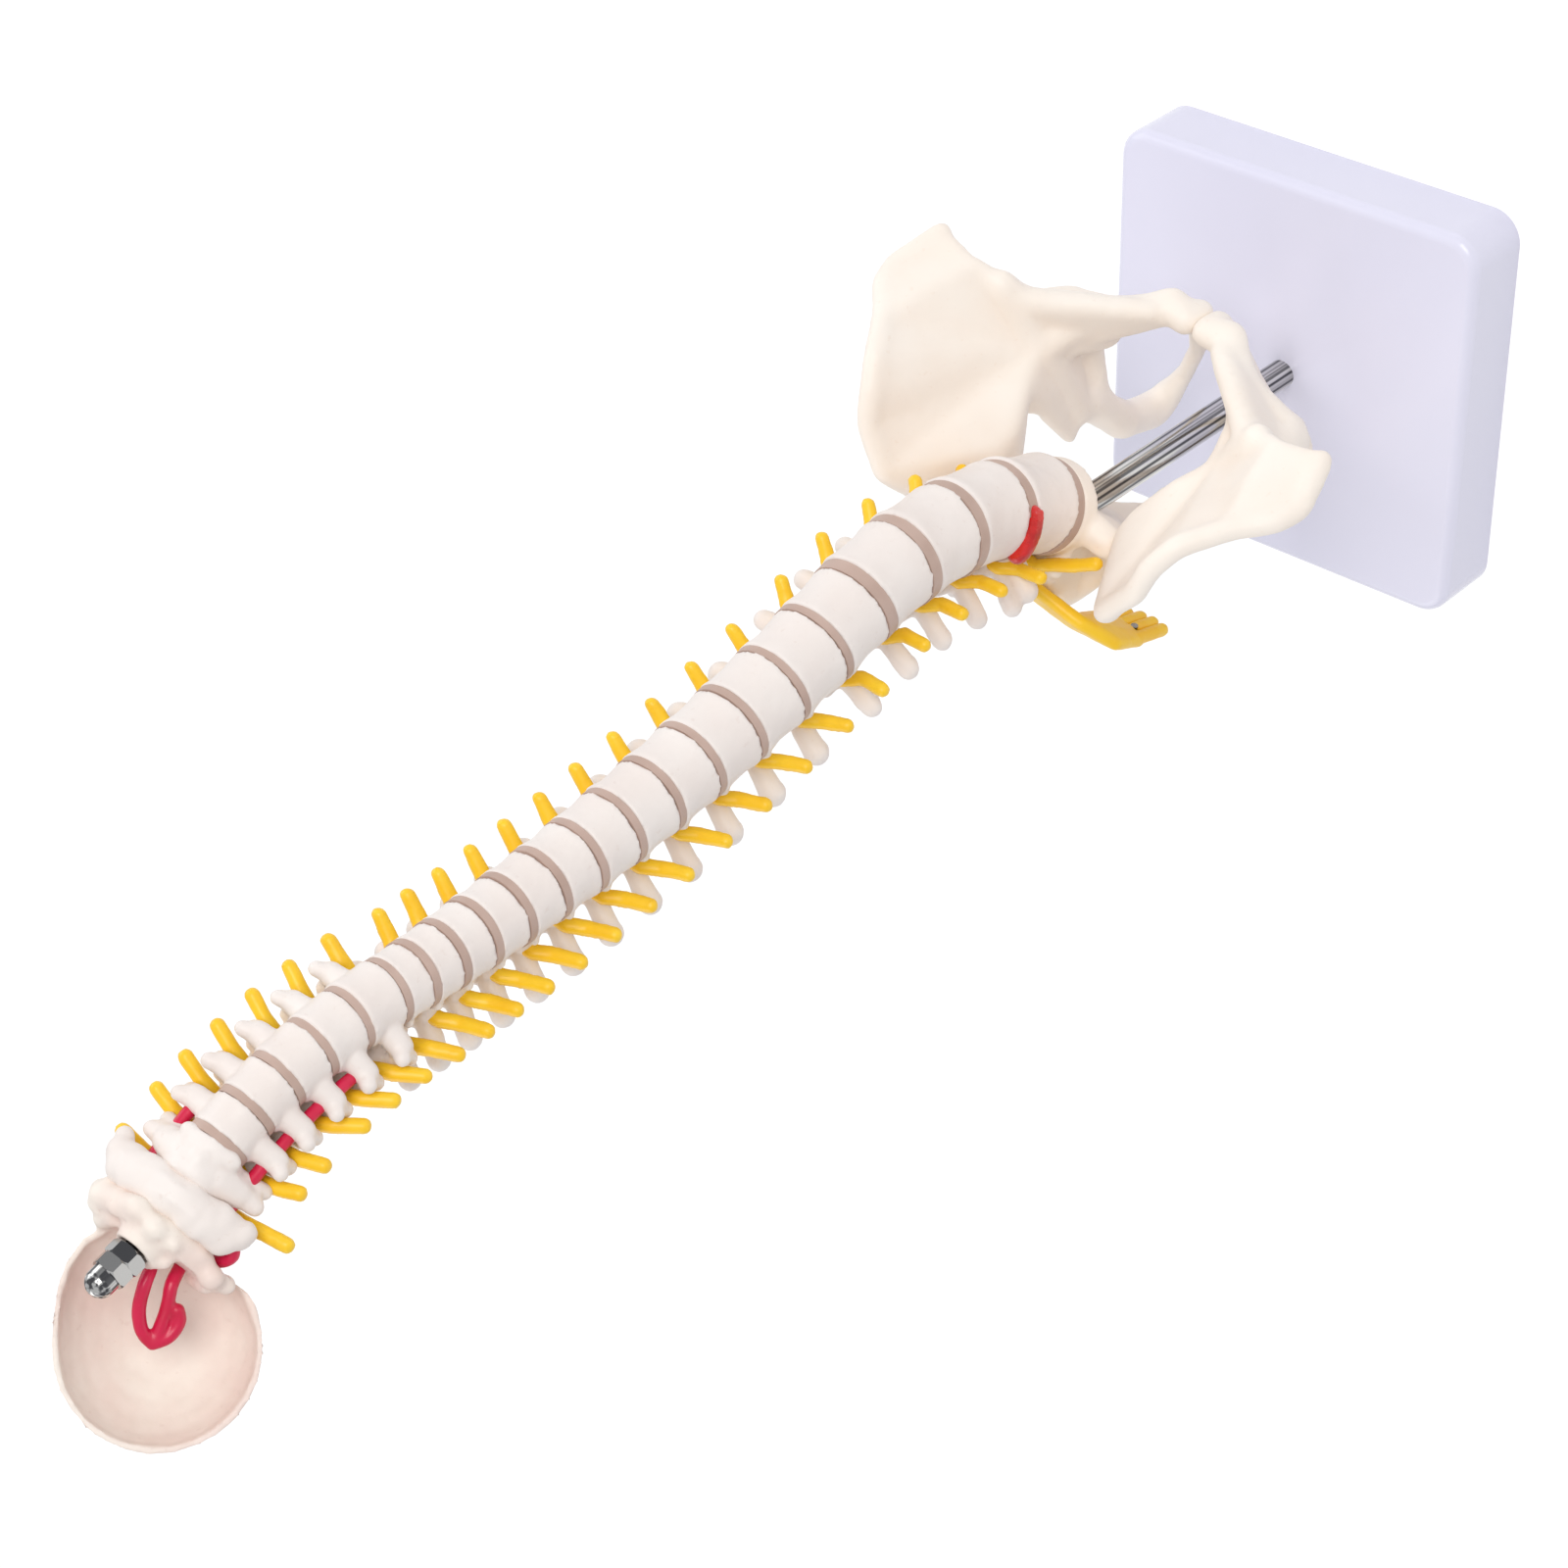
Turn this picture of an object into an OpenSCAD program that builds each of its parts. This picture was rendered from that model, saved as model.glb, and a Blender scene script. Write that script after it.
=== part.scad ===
// Half life-size spine model on a stand: the pelvis, 24 vertebrae with discs,
// spinal nerves, vertebral arteries and the occipital bone, threaded on a
// curved core rod that stands on a moulded square base.
// Frame: millimetres, Z up, the model faces -Y and its own left side is +X.
// The origin is the centre of the underside of the base.

/* [Base and stand] */
// Side of the square base
base_w = 116; // [90:1:150]
// Height of the base
base_t = 21.5; // [14:0.5:30]
// Radius of the base corners seen from above
base_corner_r = 9; // [4:0.5:20]
// Rounding of the upper edge of the base
base_edge_r = 3; // [1:0.25:5]
// Wall of the moulded base
base_wall = 2.6; // [1.5:0.1:4]
// Diameter of the upright support rod
rod_d = 8; // [6:0.25:12]
// Height of the top end of the support rod
rod_top_z = 116; // [105:0.5:120]

/* [Core rod and fasteners] */
// Diameter of the curved core rod
core_d = 5; // [4:0.25:6]
// Play of the core rod in the bones, on the diameter
core_play = 1; // [0.6:0.1:2]
// Width across flats of the two top nuts
nut_af = 8; // [7:0.5:10]
// Height of the lower lock nut
nut_h = 3.6; // [2.5:0.1:5]
// Height of the cap nut with its dome
cap_h = 9; // [8:0.1:12]

/* [Spine curve] */
// Height of the middle of the lowest disc
curve_z = 130; // [120:0.1:135]
// Distance of the lowest disc in front of the support rod
curve_y = 8.5; // [4:0.1:12]
// Lean of the curve at the lowest disc, forwards
lean_low = 27; // [15:0.5:32]
// Length of the lumbar arc
lumbar_arc = 76.5; // [65:0.5:85]
// Lean at the top of the lumbar arc, backwards
lean_lumbar = 17; // [10:0.5:22]
// Length of the chest arc
thoracic_arc = 162; // [140:0.5:175]
// Length of the neck arc
neck_arc = 69.5; // [55:0.5:75]
// Lean at the top of the neck arc, backwards
lean_neck = 31.7; // [20:0.5:36]
// Length of the short arc under the nuts
top_arc = 11; // [9:0.5:14]
// Lean of the nuts, backwards
lean_top = 16; // [8:0.5:24]
// Turn of the pelvis about the rod
pelvis_turn = -11; // [-20:1:10]
// Turn of the vertebrae about the core rod
spine_turn = -26; // [-30:1:10]

/* [Vertebrae] */
// Pitch of the fifth lumbar vertebra
pitch_l5 = 20.2; // [18:0.1:22]
// Pitch of the first lumbar vertebra
pitch_l1 = 16.4; // [15:0.1:18]
// Pitch of the twelfth thoracic vertebra
pitch_t12 = 16.1; // [14:0.1:17.5]
// Pitch of the first thoracic vertebra
pitch_t1 = 8.45; // [8:0.05:10]
// Pitch of the seventh neck vertebra
pitch_c7 = 11.6; // [10:0.1:13]
// Pitch of the third neck vertebra
pitch_c3 = 9.2; // [8.5:0.1:10.5]
// Height of the second neck vertebra above its disc
axis_h = 9.6; // [8:0.1:11]
// Height of the first neck vertebra
atlas_h = 9.4; // [8:0.1:11]
// Body radius of the fifth lumbar vertebra
body_r_l5 = 13.2; // [11:0.1:15]
// Body radius of the first lumbar vertebra
body_r_l1 = 12.2; // [10:0.1:14]
// Body radius of the first thoracic vertebra
body_r_t1 = 8.7; // [7.5:0.1:10]
// Body radius of the third neck vertebra
body_r_c3 = 7.6; // [6.8:0.1:9]
// Thickness of the lumbar discs
disc_lumbar = 3.2; // [2:0.1:4]
// Thickness of the thoracic discs
disc_thoracic = 2; // [1.4:0.1:3]
// Thickness of the neck discs
disc_neck = 1.9; // [1.4:0.1:2.6]
// Radius of the spinal canal
canal_r = 3.9; // [3.5:0.1:4.5]

/* [Nerves and arteries] */
// Diameter of a spinal nerve
nerve_d = 2.7; // [2:0.1:3.2]
// Diameter of the cord in the canal
cord_d = 6; // [4.5:0.1:6.4]
// Diameter of an artery
artery_d = 2.6; // [2:0.1:3]

/* [Hidden] */
$fa = 6;
$fs = 0.5;

bone_color = [0.95, 0.90, 0.84];
pelvis_color = [0.97, 0.92, 0.85];
disc_color = [0.80, 0.70, 0.64];
nerve_color = [0.98, 0.78, 0.10];
artery_color = [0.80, 0.08, 0.22];
steel_color = [0.72, 0.72, 0.70];
base_color = [0.90, 0.89, 0.95];
far = 200;

// The curve: four arcs that meet smoothly, each [length, lean at its end]
arcs = [[lumbar_arc, lean_lumbar], [thoracic_arc, -1], [neck_arc, lean_neck],
        [top_arc, lean_top]];
function arc_len(i) = arcs[i][0];
function arc_end(i) = arcs[i][1];
function arc_begin(i) = i == 0 ? -lean_low : arcs[i - 1][1];
// Signed radius of an arc, in millimetres
function arc_r(i) = arc_len(i) / ((arc_end(i) - arc_begin(i)) * PI / 180);
function arc_start_s(i) = i == 0 ? 0 : arc_start_s(i - 1) + arc_len(i - 1);
function arc_of(s) = s < arc_start_s(1) ? 0 : s < arc_start_s(2) ? 1 : s < arc_start_s(3) ? 2 : 3;
function lean_on(i, s) = arc_begin(i) + (s - arc_start_s(i)) / arc_r(i) * 180 / PI;
function lean(s) = s < 0 ? -lean_low : s > arc_start_s(3) + top_arc ? lean_top : lean_on(arc_of(s), s);
function arc_start_p(i) = i == 0 ? [-curve_y, curve_z] : step_on(i - 1, arc_start_p(i - 1), arc_end(i - 1));
function step_on(i, p, a) = p + arc_r(i) * [cos(arc_begin(i)) - cos(a), sin(a) - sin(arc_begin(i))];
// Point of the curve at arc length s, as [y, z]
function on_arc(s) = step_on(arc_of(s), arc_start_p(arc_of(s)), lean_on(arc_of(s), s));
top_s = arc_start_s(3) + top_arc;
function curve_p(s) = s < 0 ? on_arc(0) + s * [-sin(lean_low), cos(lean_low)] : s <= top_s ? on_arc(s) : on_arc(top_s) + (s - top_s) * [sin(lean_top), cos(lean_top)];

module at_curve(s) {
    p = curve_p(s);
    translate([0, p[0], p[1]]) rotate([-lean(s), 0, 0]) rotate([0, 0, spine_turn]) children();
}

// World point beside the curve at arc length s, offset by [x, y] in the turned frame there
function beside(s, x, y) =
    let (p = curve_p(s), u = x * cos(spine_turn) - y * sin(spine_turn),
         v = x * sin(spine_turn) + y * cos(spine_turn))
    [u, p[0] + v * cos(lean(s)), p[1] - v * sin(lean(s))];

// Faceted skin over equal rings of points, closed at both ends
module skin(rings) {
    m = len(rings[0]);
    k = len(rings);
    walls = [for (i = [0:k - 2], j = [0:m - 1]) let (a = i * m + j, b = i * m + (j + 1) % m)
             each [[a, b, b + m], [a, b + m, a + m]]];
    low = [for (j = [m - 1:-1:0]) j];
    high = [for (j = [0:m - 1]) (k - 1) * m + j];
    polyhedron([for (q = rings) each q], concat(walls, [high, low]));
}

// Round bar that follows the curve from s0 to s1, beside it by [ox, oy]
module curve_bar(s0, s1, d, ox = 0, oy = 0, m = 12, step = 9) {
    k = ceil((s1 - s0) / step);
    skin([for (i = [0:k]) [for (j = [m:-1:1])
        beside(mix(s0, s1, i / k), ox + d / 2 * cos(360 * j / m), oy + d / 2 * sin(360 * j / m))]]);
}

// Soft bar through a list of points, m sides, with blunt ends
module soft_bar(path, r, m = 6) {
    k = len(path) - 1;
    dirs = [for (i = [0:k]) unit(path[min(i + 1, k)] - path[max(i - 1, 0)])];
    begin = path[0] - dirs[0] * r * 0.4;
    end = path[k] + dirs[k] * r * 0.5;
    skin(concat([ring(begin, dirs[0], r * 0.6, m)],
                [for (i = [0:k]) ring(path[i], dirs[i], r, m)],
                [ring(end, dirs[k], r * 0.6, m)]));
}

function unit(v) = v / norm(v);
function ring(c, dir, r, m) =
    let (e = unit(cross(dir, [0, 0.3, 1])), g = cross(dir, e))
    [for (j = [m:-1:1]) c + r * (cos(360 * j / m) * e + sin(360 * j / m) * g)];

// Levels: 1 is the fifth lumbar vertebra, 5 the first, 6 to 17 the chest, 18 to 22 c7 to c3
function mix(a, b, t) = a + (b - a) * t;
function pitch(n) = n < 6 ? mix(pitch_l5, pitch_l1, (n - 1) / 4)
    : n < 18 ? mix(pitch_t12, pitch_t1, (n - 6) / 11)
    : mix(pitch_c7, pitch_c3, (n - 18) / 4);
function disc_s(n) = n == 0 ? 0 : disc_s(n - 1) + pitch(n);
function disc_t(n) = n < 5 ? disc_lumbar : n < 17 ? disc_thoracic : disc_neck;
function body_r(n) = n < 6 ? mix(body_r_l5, body_r_l1, (n - 1) / 4)
    : n < 18 ? mix(body_r_l1, body_r_t1, (n - 5) / 12)
    : mix(body_r_t1, body_r_c3, (n - 17) / 5);
function canal_y(n) = n < 6 ? 13.4 : n < 18 ? 12 : 10.6;
axis_s0 = disc_s(22) + disc_neck / 2;
atlas_s0 = axis_s0 + axis_h;
plate_s0 = atlas_s0 + atlas_h + 0.6;
plate_t = 5;
clivus_t = 9.1;
nut_s0 = plate_s0 + clivus_t;

module capsule(len, r0, r1) {
    rotate_extrude() intersection() {
        union() {
            circle(r = r0);
            translate([0, len]) circle(r = r1);
            polygon([[0, 0], [r0, 0], [r1, len], [0, len]]);
        }
        translate([0, -far]) square([far, 2 * far]);
    }
}

// Capsule between two points
module limb(a, b, r0, r1) {
    v = b - a;
    translate(a) rotate([0, acos(v[2] / norm(v)), atan2(v[1], v[0])]) capsule(norm(v), r0, r1);
}

module body_form(r, h) {
    waist = r * 0.06;
    half = h * 0.4;
    dip_r = (half * half + waist * waist) / (2 * waist);
    rotate_extrude() difference() {
        translate([0, -h]) square([r, 2 * h]);
        translate([r - waist + dip_r, 0]) circle(r = dip_r);
    }
}

// Keeps what lies between the disc below and the disc above
module between_discs(n) {
    difference() {
        children();
        at_curve(disc_s(n - 1)) translate([-far / 2, -far / 2, disc_t(n - 1) / 2 - far]) cube(far);
        at_curve(disc_s(n)) translate([-far / 2, -far / 2, -disc_t(n) / 2]) cube(far);
    }
}

module blade(len, h, t, drop, tip_r) {
    rotate([90, 0, 90]) translate([0, 0, -t / 2]) linear_extrude(t) {
        polygon([[0, h / 2], [len, -drop + tip_r], [len, -drop - tip_r], [0, -h / 2]]);
        translate([len, -drop]) circle(r = tip_r);
    }
}

// One vertebra of the lumbar or chest family, or c7 to c3
module vertebra(n) {
    r = body_r(n);
    h = pitch(n) - disc_t(n);
    cy = canal_y(n);
    ring_r = canal_r + (n < 6 ? 2.6 : 1.9);
    mid = (disc_s(n - 1) + disc_s(n)) / 2;
    lumbar = n < 6;
    neck = n > 17;
    difference() {
        union() {
            between_discs(n) at_curve(mid) body_form(r, pitch(n));
            at_curve(mid) {
                translate([0, cy, -h * 0.12]) cylinder(r = ring_r, h = h * 0.55);
                for (side = [-1, 1]) {
                    if (lumbar) lumbar_side(side, h, cy, ring_r);
                    else if (neck) neck_side(side, h, cy, ring_r, r);
                    else chest_side(side, h, cy, ring_r, n);
                }
                if (lumbar) translate([0, cy + canal_r, -h * 0.05]) blade(11, h * 0.6, 2.6, h * 0.1, h * 0.3);
                else if (neck) translate([0, cy + canal_r, 0]) blade(n == 18 ? 10 : 5.5, h * 0.45, 2.4, h * 0.2, 1.5);
                else translate([0, cy + canal_r, 0]) blade(9, h * 0.5, 2, h * 0.55, 1.6);
            }
        }
        at_curve(mid) {
            translate([0, 0, -far / 2]) cylinder(d = core_d + core_play, h = far);
            translate([0, cy, -far / 2]) cylinder(r = canal_r, h = far);
            if (neck && n > 18) for (side = [-1, 1])
                translate([side * artery_x, artery_y, -far / 2]) cylinder(d = artery_d + 0.5, h = far);
        }
    }
}

artery_x = 10.2;
artery_y = 3.4;

module lumbar_side(side, h, cy, ring_r) {
    limb([side * ring_r * 0.5, cy, h * 0.12], [side * 17.6, cy + 5.5, h * 0.14], 2.8, 2.7);
    limb([side * 5.6, cy + 3.4, h * 0.2], [side * 6.2, cy + 4.2, h * 0.52], 2, 1.8);
    limb([side * 4.4, cy + 5, -h * 0.1], [side * 4.4, cy + 8, -h * 0.46], 2, 1.8);
}

module chest_side(side, h, cy, ring_r, n) {
    k = (n - 6) / 11;
    limb([side * ring_r * 0.5, cy + 1.4, h * 0.14], [side * mix(15.5, 14, k), cy + 7.4, h * 0.2 + 1.6], 2.4, mix(3.3, 2.8, k));
    limb([side * 3.6, cy + 4.2, h * 0.2], [side * 3.8, cy + 4.6, h * 0.46], 1.6, 1.4);
    limb([side * 3.4, cy + 5, -h * 0.1], [side * 3.4, cy + 7, -h * 0.4], 1.6, 1.4);
}

module neck_side(side, h, cy, ring_r, r) {
    limb([side * ring_r * 0.6, cy, h * 0.05], [side * 9.6, cy + 1.5, 0], 2, 2.2);
    limb([side * r * 0.8, 1.5, -h * 0.05], [side * 13.3, artery_y + 1, -h * 0.1], 1.9, 2);
    limb([side * 12.7, artery_y + 1.6, -h * 0.08], [side * 9.2, cy + 1, 0.2], 1.42, 1.56);
}

module disc(n, pad = 0) {
    t = disc_t(n);
    r = (n == 0 ? body_r(1) : body_r(n)) - 0.35;
    at_curve(disc_s(n)) difference() {
        rotate_extrude() {
            square([r, t / 2]);
            translate([0, -t / 2]) square([r, t / 2]);
        }
        translate([0, 0, -t]) cylinder(d = core_d + core_play, h = 2 * t);
        translate([0, canal_y(max(n, 1)), -t]) cylinder(r = canal_r, h = 2 * t);
        if (canal_y(n + 1) != canal_y(max(n, 1))) translate([0, canal_y(n + 1), -t]) cylinder(r = canal_r, h = 2 * t);
    }
}

module rounded_slab(w, r, h) {
    linear_extrude(h) {
        square([w - 2 * r, w], center = true);
        square([w, w - 2 * r], center = true);
        for (x = [-1, 1]) for (y = [-1, 1]) translate([x, y] * (w / 2 - r)) circle(r = r);
    }
}

module base_form() {
    w = base_w;
    e = base_edge_r;
    r = base_corner_r;
    rounded_slab(w, r, base_t - e);
    translate([0, 0, base_t - e]) {
        rounded_slab(w - 2 * e, r - e, e);
        for (x = [-1, 1]) for (y = [-1, 1]) translate([x, y, 0] * (w / 2 - r))
            rotate_extrude() translate([r - e, 0]) quarter(e);
        for (q = [0:3]) rotate([0, 0, 90 * q]) translate([w / 2 - e, 0, 0]) rotate([90, 0, 0])
            translate([0, 0, -(w / 2 - r)]) linear_extrude(w - 2 * r) quarter(e);
    }
}

module quarter(e) {
    intersection() {
        circle(r = e);
        square(e);
    }
}

boss_r = 9;
socket_z = 7;

module base_plate() {
    color(base_color) difference() {
        base_form();
        difference() {
            translate([0, 0, -1]) rounded_slab(base_w - 2 * base_wall, base_corner_r - base_wall, base_t - base_wall + 1);
            cylinder(r = boss_r, h = base_t);
            for (q = [0, 90], x = [-28, 0, 28]) rotate([0, 0, q]) translate([x - 0.9, -base_w / 2, 2]) cube([1.8, base_w, base_t]);
        }
        translate([0, 0, socket_z]) cylinder(d = rod_d, h = base_t);
        translate([0, 0, -1]) cylinder(d = 4.4, h = base_t);
        translate([0, 0, -1]) cylinder(r = 6.2, h = 5);
    }
}

module base_washer() {
    color(steel_color) translate([0, 0, 3]) difference() {
        cylinder(r = 5.5, h = 1);
        translate([0, 0, -1]) cylinder(d = 4.4, h = 3);
    }
}

module base_bolt() {
    color(steel_color) difference() {
        union() {
            translate([0, 0, 0.6]) cylinder(r = 3.8, h = 2.4);
            translate([0, 0, 1]) cylinder(d = 4, h = 16);
        }
        translate([0, 0, 0]) cylinder(r = 2, h = 2, $fn = 6);
    }
}

module support_rod() {
    color(steel_color) translate([0, 0, socket_z]) difference() {
        cylinder(d = rod_d, h = rod_top_z - socket_z);
        translate([0, 0, -1]) cylinder(d = 4, h = 12);
    }
}

core_s0 = -11;

module core_rod() {
    color(steel_color) curve_bar(core_s0, nut_s0 + nut_h + 4, core_d, m = 12, step = 10);
}

module hex_prism(af, h) {
    cylinder(r = af / 2 / cos(30), h = h, $fn = 6);
}

module hex_nut(h) {
    intersection() {
        hex_prism(nut_af, h);
        rotate_extrude() polygon([[0, 0], [nut_af * 0.52, 0], [nut_af * 0.6, h * 0.18],
                                  [nut_af * 0.6, h * 0.82], [nut_af * 0.52, h], [0, h]]);
    }
}

module lock_nut() {
    color(steel_color) at_curve(nut_s0) difference() {
        hex_nut(nut_h);
        translate([0, 0, -1]) cylinder(d = core_d, h = nut_h + 2);
    }
}

module cap_nut() {
    dome_r = nut_af * 0.44;
    color(steel_color) at_curve(nut_s0) translate([0, 0, nut_h]) rotate([0, 0, 12]) difference() {
        union() {
            hex_nut(3.6);
            translate([0, 0, 3]) cylinder(r = dome_r, h = cap_h - 3 - dome_r);
            translate([0, 0, cap_h - dome_r]) sphere(r = dome_r);
        }
        translate([0, 0, -1]) cylinder(d = core_d, h = 5);
    }
}

// The pelvis is drawn in a frame at the top of the sacrum
module at_pelvis() {
    p = curve_p(0);
    translate([0, p[0], p[1]]) rotate([0, 0, pelvis_turn]) children();
}

si_x = 20;

module knot(p, r) {
    translate(p) sphere(r = r, $fn = 8);
}

module bar2(a, b, ra, rb) {
    hull() {
        knot(a, ra);
        knot(b, rb);
    }
}

module web3(a, b, c, r) {
    hull() {
        knot(a, r);
        knot(b, r);
        knot(c, r);
    }
}

// Landmarks of the left hip bone: middles of its rims
crest_top = [36.5, 2, 19];
crest_fore = [44, -9, 19.3];
crest_bend = [45.8, -17.8, 18];
crest_mid = [49.6, -25, 13.4];
crest_flare = [56.4, -28.8, 3];
crest_side = [64, -31.6, -5.4];
crest_edge = [66, -33.4, -12.5];
asis = [62, -40, -25];
front_notch = [49.5, -37.5, -23.5];
aiis = [42, -33.8, -27.4];
crest_rear = [31, 12, 7];
psis = [24, 20, -16];
si_low = [23, 9, -19];
si_front = [21, -1, -11];
notch_apex = [27, -11, -22];
brim = [32, -16, -34];
socket_c = [38, -10, -50];
eminence = [27, -21.5, -48];
superior = [16, -27.5, -55.3];
spine_tip = [25, 17.5, -49];
spine_low = [27, 10, -52];
isch_back = [24, 22.5, -73];
tuber_back = [23, 25, -87];
tuber_low = [21, 19, -90];
ramus_mid = [17, 9.5, -89];
ramus_low = [10, -7, -80];
pubis_low = [3, -30, -64];
pubis_up = [3.2, -30, -58];
tubercle = [9.6, -31, -60];
obturator_top = [27, 9, -62];
obturator_fore = [31, -10, -58.5];
crest_r = 2.9;
wing_r = 1.8;
socket_r = 11;

module hip_bone() {
    difference() {
        union() {
            web3(crest_top, crest_fore, brim, wing_r);
            web3(crest_fore, crest_bend, brim, wing_r);
            web3(crest_bend, crest_mid, brim, wing_r);
            web3(crest_mid, crest_flare, brim, wing_r);
            web3(crest_flare, front_notch, brim, wing_r);
            web3(crest_flare, crest_side, front_notch, wing_r);
            web3(crest_side, crest_edge, front_notch, wing_r);
            web3(crest_edge, asis, front_notch, wing_r);
            web3(front_notch, aiis, brim, 2.4);
            web3(crest_top, si_front, notch_apex, 2.4);
            web3(crest_top, notch_apex, brim, 2.4);
            web3(crest_top, crest_rear, si_front, 2.6);
            web3(crest_rear, si_low, si_front, 3);
            web3(crest_rear, psis, si_low, 2.8);
            web3(si_front, si_low, notch_apex, 2.8);
            bar2(psis, crest_rear, 2.8, crest_r);
            bar2(crest_rear, crest_top, crest_r, crest_r);
            bar2(crest_top, crest_fore, crest_r, crest_r);
            bar2(crest_fore, crest_bend, crest_r, crest_r);
            bar2(crest_bend, crest_mid, crest_r, crest_r);
            bar2(crest_mid, crest_flare, crest_r, crest_r);
            bar2(crest_flare, crest_side, crest_r, crest_r);
            bar2(crest_side, crest_edge, crest_r, crest_r);
            bar2(crest_edge, asis, crest_r, crest_r);
            web3(aiis, brim, socket_c, 4);
            web3(brim, notch_apex, spine_low, 2.6);
            web3(notch_apex, spine_tip, spine_low, 1.8);
            web3(brim, spine_low, socket_c, 5);
            web3(spine_low, isch_back, obturator_top, 3);
            web3(spine_low, obturator_top, socket_c, 3.4);
            web3(obturator_top, obturator_fore, socket_c, 3);
            web3(obturator_fore, eminence, socket_c, 3);
            bar2(isch_back, tuber_back, 4.8, 5.2);
            bar2(tuber_back, tuber_low, 5, 4);
            bar2(tuber_low, ramus_mid, 3.6, 2.5);
            bar2(ramus_mid, ramus_low, 2.5, 2.4);
            bar2(ramus_low, pubis_low, 2.5, 3.6);
            bar2(brim, eminence, 4.6, 4.6);
            bar2(socket_c, eminence, 8, 4.6);
            bar2(eminence, superior, 4.6, 3.6);
            bar2(superior, tubercle, 3.6, 4.6);
            bar2(tubercle, pubis_up, 4.6, 4);
            bar2(pubis_up, pubis_low, 4, 3.8);
            translate(socket_c) rotate([0, 90, -28]) rotate([0, 24, 0]) translate([0, 0, -7])
                cylinder(r1 = 9, r2 = socket_r + 2.2, h = 14, $fn = 24);
        }
        translate(socket_c) rotate([0, 90, -28]) rotate([0, 24, 0]) translate([0, 0, 10])
            sphere(r = socket_r + 0.4, $fn = 28);
        translate([-far, -far / 2, -far / 2]) cube([far, far, far]);
        translate([si_x - far, -6, -40]) cube([far, 36, far]);
    }
}

module hip_bone_left() {
    color(pelvis_color) at_pelvis() hip_bone();
}

module hip_bone_right() {
    color(pelvis_color) at_pelvis() mirror([1, 0, 0]) hip_bone();
}

// Seat of the cauda equina piece on the back of the sacrum: a point and its slope
seat_p = [0, 21, 3];
seat_fall = 38;

module sacrum() {
    color(pelvis_color) difference() {
        union() {
            at_curve(0) translate([0, 0, -disc_lumbar / 2 - 7]) cylinder(r = body_r_l5 - 0.3, h = 7);
            at_pelvis() difference() {
                union() {
                    for (side = [-1, 1]) hull() {
                        knot([side * 9, 3, -7], 4.5);
                        knot([side * 24, 6, -8], 4.2);
                        knot([side * 24, 15, -22], 4);
                        knot([side * 8, 16, -22], 5);
                    }
                    hull() {
                        knot([0, 3, -8], 8.5);
                        knot([0, 14, -19], 6.5);
                        for (side = [-1, 1]) knot([side * 5, 20, -2], 4.8);
                        for (side = [-1, 1]) knot([side * 4, 34, -14], 5);
                    }
                    hull() {
                        for (side = [-1, 1]) knot([side * 16, 17, -24], 3.6);
                        for (side = [-1, 1]) knot([side * 9, 29, -42], 3.2);
                        for (side = [-1, 1]) knot([side * 4, 35, -16], 4.6);
                        knot([0, 40, -32], 2.4);
                    }
                    hull() {
                        for (side = [-1, 1]) knot([side * 8.4, 29, -42], 3.2);
                        knot([0, 38, -38], 2.4);
                        knot([0, 32, -56], 3);
                    }
                    bar2([0, 32, -55], [0, 28, -63], 2.8, 1.8);
                }
                for (side = [-1, 1]) translate([side > 0 ? si_x : -si_x - far, -far / 2, -far / 2]) cube(far);
                translate(seat_p) rotate([-seat_fall, 0, 0]) translate([-far / 2, -far / 2, 0]) cube(far);
            }
        }
        at_curve(0) translate([-far / 2, -far / 2, -disc_lumbar / 2]) cube(far);
        at_curve(0) translate([0, 0, core_s0]) cylinder(d = core_d + 0.1, h = far);
        at_curve(0) translate([0, canal_y(1), -7]) cylinder(d = cord_d + 0.1, h = far);
        cylinder(d = rod_d + 0.1, h = rod_top_z);
    }
}

module above(s, lift = 0) {
    at_curve(s) translate([-far / 2, -far / 2, lift]) cube(far);
}

module below(s, lift = 0) {
    at_curve(s) translate([-far / 2, -far / 2, lift - far]) cube(far);
}

module axis_c2() {
    r = body_r_c3;
    cy = canal_y(22);
    color(bone_color) difference() {
        at_curve(axis_s0) {
            translate([0, 0, -2]) rotate_extrude()
                polygon([[0, 0], [r, 0], [r, 4], [r * 0.9, 6], [r * 0.95, axis_h], [r * 0.9, axis_h + 2],
                         [4.6, axis_h + 2.4], [4.4, axis_h + 6], [0, axis_h + 6]]);
            translate([0, cy, axis_h * 0.2]) cylinder(r = canal_r + 2, h = axis_h * 0.55);
            for (side = [-1, 1]) {
                limb([side * 5, 2, axis_h * 0.5], [side * 12.5, artery_y + 1, axis_h * 0.36], 3, 2.2);
                limb([side * 6.5, 2.2, axis_h * 0.74], [side * 8, cy - 0.4, axis_h * 0.6], 2.6, 2.3);
            }
            translate([0, cy + canal_r, axis_h * 0.45]) blade(7, 5, 3, 1.5, 2.2);
        }
        below(disc_s(22), disc_neck / 2);
        at_curve(atlas_s0) difference() {
            cylinder(r = 40, h = 40);
            translate([0, 0, -1]) cylinder(r = 5, h = 42);
        }
        at_curve(axis_s0 + axis_h * 0.75) cylinder(d = core_d + core_play + 0.6, h = 60, center = true);
        at_curve(axis_s0) {
            translate([0, cy, -far / 2]) cylinder(r = canal_r, h = far);
            for (side = [-1, 1]) translate([side * artery_x, artery_y, -far / 2]) cylinder(d = artery_d + 0.6, h = far);
        }
    }
}

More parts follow.
